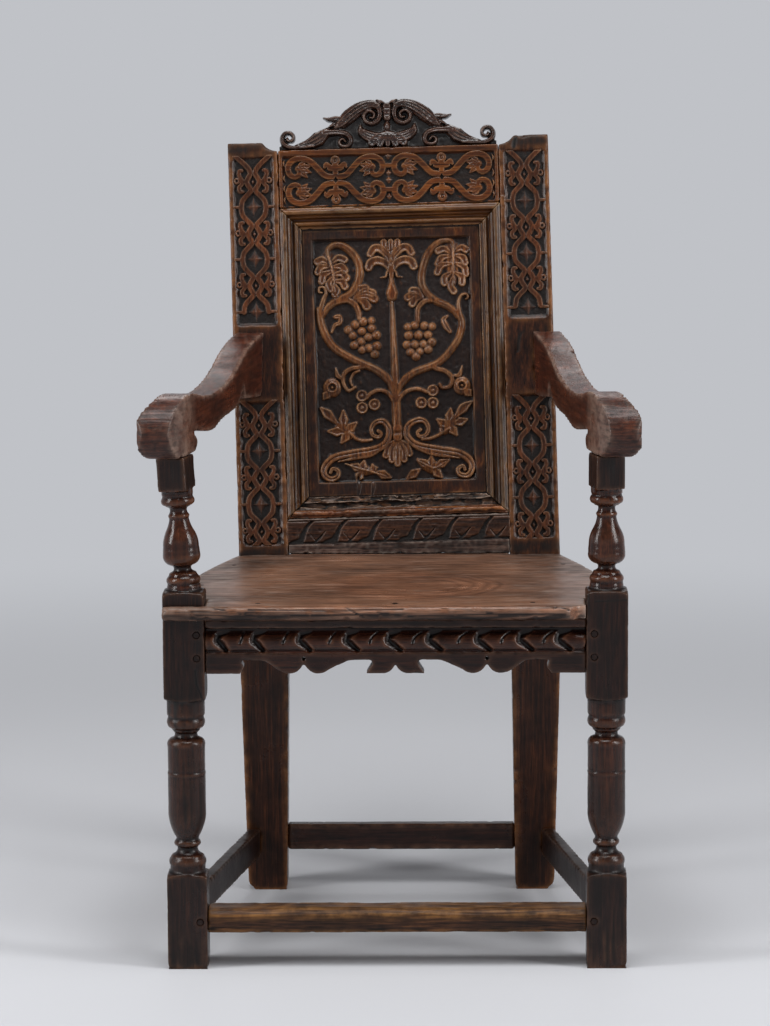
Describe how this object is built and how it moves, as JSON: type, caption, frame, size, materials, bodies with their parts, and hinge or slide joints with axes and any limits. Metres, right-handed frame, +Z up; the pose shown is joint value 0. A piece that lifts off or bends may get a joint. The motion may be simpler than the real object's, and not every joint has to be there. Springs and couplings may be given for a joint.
{
  "type": "wainscot chair",
  "caption": "Joined oak armchair with a carved and moulded panel back, scrolled crest, down-swept scroll arms, turned front posts, plank seat and low stretchers.",
  "frame": {"origin": "middle of the footprint of the whole chair, on the floor", "axes": "+Z up, -Y towards the front, where the sitter faces, +X to the right as seen from the front"},
  "size_m": [0.6168, 0.5796, 1.0614],
  "materials": {
    "oak_frame": "dark aged oak, waxed, with worn edges",
    "oak_arm": "reddish brown oak, polished by hands",
    "oak_seat": "grey-brown oak, waxed, worn smooth",
    "oak_carved": "nearly black carved oak with rubbed high parts",
    "oak_moulding": "golden brown oak on the ridges, dark in the hollows",
    "oak_peg": "riven oak pegs, dry end grain"
  },
  "bodies": {
    "root": {"front_post_left": "oak_frame", "front_post_right": "oak_frame", "rear_post_left": "oak_frame", "rear_post_right": "oak_frame", "side_seat_rail_left": "oak_frame", "side_seat_rail_right": "oak_frame", "front_seat_rail": "oak_frame", "rear_seat_rail": "oak_frame", "side_stretcher_left": "oak_frame", "side_stretcher_right": "oak_frame", "front_stretcher": "oak_frame", "rear_stretcher": "oak_frame", "top_rail": "oak_frame", "lower_back_rail": "oak_frame", "arm_left": "oak_arm", "arm_right": "oak_arm", "seat_board": "oak_seat", "back_panel": "oak_carved", "crest": "oak_carved", "panel_moulding_top": "oak_moulding", "panel_moulding_bottom": "oak_moulding", "panel_moulding_left": "oak_moulding", "panel_moulding_right": "oak_moulding", "crest_dowels": "oak_peg", "seat_rail_pegs": "oak_peg", "stretcher_pegs": "oak_peg", "back_rail_pegs": "oak_peg", "arm_pegs": "oak_peg", "seat_board_pins": "oak_peg"}
  },
  "joints": []
}
